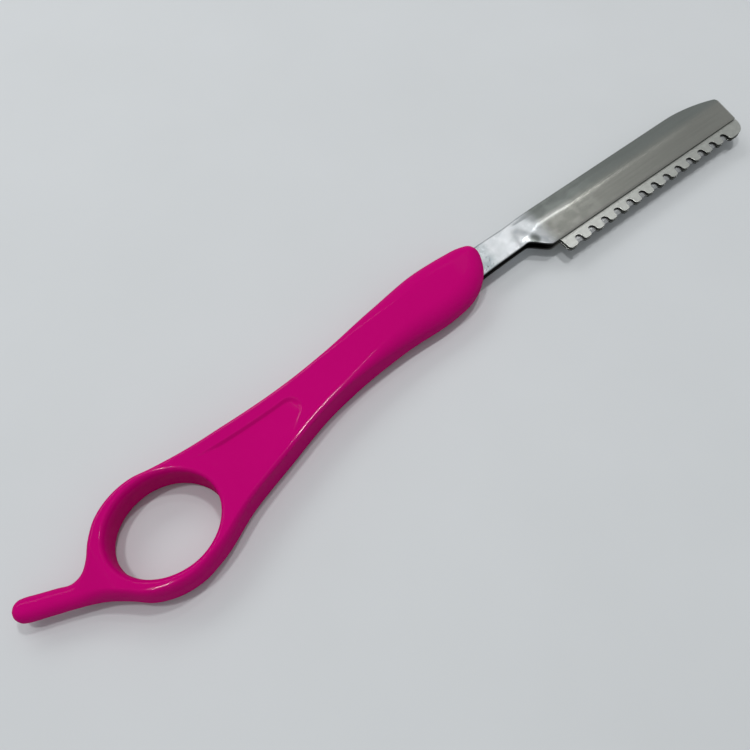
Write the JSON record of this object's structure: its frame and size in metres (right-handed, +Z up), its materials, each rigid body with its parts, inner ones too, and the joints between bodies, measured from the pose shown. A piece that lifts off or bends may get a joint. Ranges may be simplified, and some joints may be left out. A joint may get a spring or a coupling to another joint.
{
  "type": "hair shaping razor",
  "caption": "Hair shaping razor: moulded handle with finger ring and tail, folded steel holder, slide-on comb guard and single-edged blade.",
  "frame": {"origin": "under the middle of the razor's outline, on the plane that it lies on", "axes": "+X from the tail to the tip of the blade holder, +Y towards the holder's folded spine, +Z up from the plane that the razor lies on"},
  "size_m": [0.2015, 0.0282, 0.008],
  "materials": {
    "pink_plastic": "glossy moulded",
    "satin_steel": "satin, rolled",
    "matt_steel": "matt, tumbled",
    "ground_steel": "ground edge"
  },
  "bodies": {
    "handle_and_holder": {"handle": "pink_plastic", "blade_holder": "satin_steel"},
    "guard": {"comb_guard": "matt_steel"},
    "loose_blade": {"blade": "ground_steel"}
  },
  "joints": [
    {"name": "guard_slide", "type": "slide", "parent": "handle_and_holder", "child": "guard", "axis": [1, 0, 0], "range_m": [0, 0.065]},
    {"name": "blade_slide", "type": "slide", "parent": "guard", "child": "loose_blade", "axis": [1, 0, 0], "range_m": [0, 0.063]}
  ]
}
